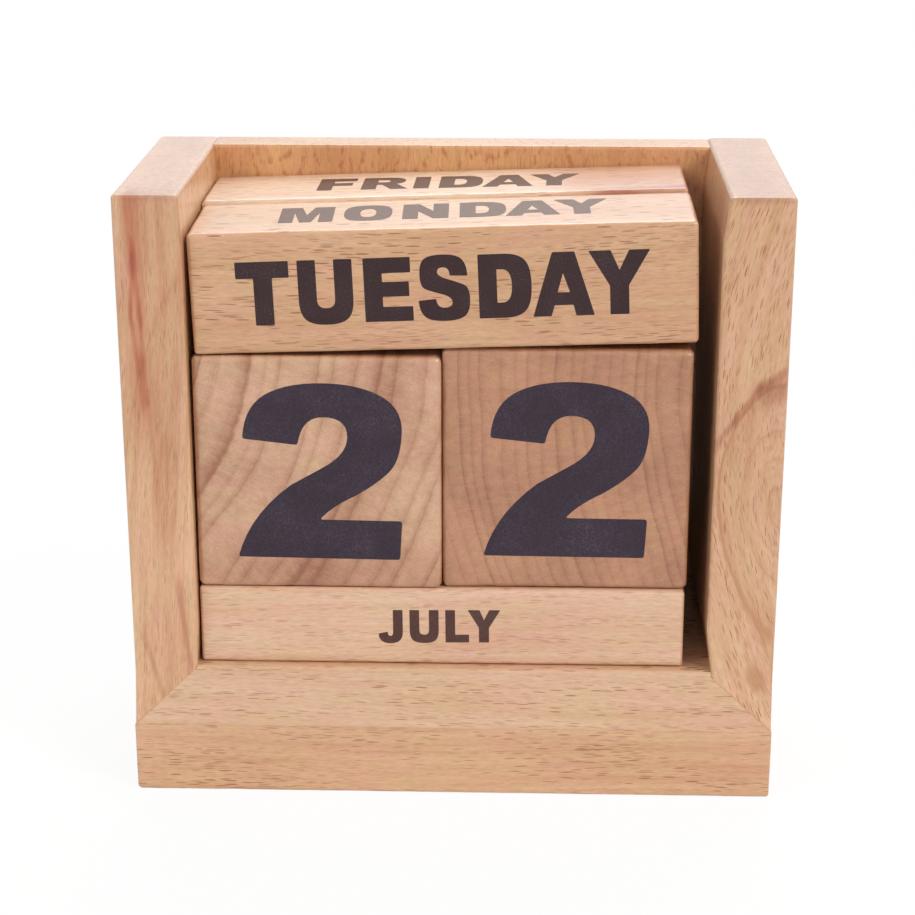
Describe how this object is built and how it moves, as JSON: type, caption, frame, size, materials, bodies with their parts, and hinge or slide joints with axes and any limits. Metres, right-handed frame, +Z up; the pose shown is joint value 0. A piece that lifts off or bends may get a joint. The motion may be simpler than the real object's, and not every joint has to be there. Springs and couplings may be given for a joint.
{
  "type": "perpetual desk calendar",
  "caption": "Wooden block calendar: a mitred frame on a plinth holds loose printed blocks that show the weekday, the date and the month.",
  "frame": {"origin": "middle of the footprint, on the surface that the plinth stands on", "axes": "+Z up, the open front faces -Y, +X to the right when looking at the front"},
  "size_m": [0.1256, 0.0612, 0.1202],
  "materials": {
    "beech_plinth": "sanded steamed beech, side grain",
    "beech_base": "sanded steamed beech, side grain",
    "beech_side": "sanded steamed beech, side grain with end grain on top",
    "beech_back": "sanded steamed beech, darker board",
    "beech_bar": "sanded steamed beech, side grain",
    "beech_cube": "sanded steamed beech, end grain at the front",
    "ink": "matt printing ink, slightly worn"
  },
  "bodies": {
    "frame": {"plinth": "beech_plinth", "base_board": "beech_base", "left_side": "beech_side", "right_side": "beech_side", "back_panel": "beech_back"},
    "month_bar_front": {"month_bar_front": "beech_bar"},
    "month_bar_middle": {"month_bar_middle": "beech_bar"},
    "month_bar_rear": {"month_bar_rear": "beech_bar"},
    "number_cube_left": {"number_cube_left": "beech_cube"},
    "number_cube_right": {"number_cube_right": "beech_cube"},
    "weekday_bar_front": {"weekday_bar_front": "beech_bar"},
    "weekday_bar_rear": {"weekday_bar_rear": "beech_bar"}
  },
  "joints": [
    {"name": "left_cube_pull", "type": "slide", "parent": "frame", "child": "number_cube_left", "axis": [0, -1, 0], "range_m": [0, 0.055]},
    {"name": "right_cube_pull", "type": "slide", "parent": "frame", "child": "number_cube_right", "axis": [0, -1, 0], "range_m": [0, 0.055]},
    {"name": "front_weekday_lift", "type": "slide", "parent": "frame", "child": "weekday_bar_front", "axis": [0, 0, 1], "range_m": [0, 0.035]},
    {"name": "rear_weekday_lift", "type": "slide", "parent": "frame", "child": "weekday_bar_rear", "axis": [0, 0, 1], "range_m": [0, 0.035]},
    {"name": "front_month_pull", "type": "slide", "parent": "frame", "child": "month_bar_front", "axis": [0, -1, 0], "range_m": [0, 0.055]},
    {"name": "middle_month_pull", "type": "slide", "parent": "frame", "child": "month_bar_middle", "axis": [0, -1, 0], "range_m": [0, 0.055]},
    {"name": "rear_month_pull", "type": "slide", "parent": "frame", "child": "month_bar_rear", "axis": [0, -1, 0], "range_m": [0, 0.055]}
  ],
  "couplings": [
    {"joint": "middle_month_pull", "follows": "front_month_pull", "ratio": 1},
    {"joint": "rear_month_pull", "follows": "front_month_pull", "ratio": 1}
  ]
}
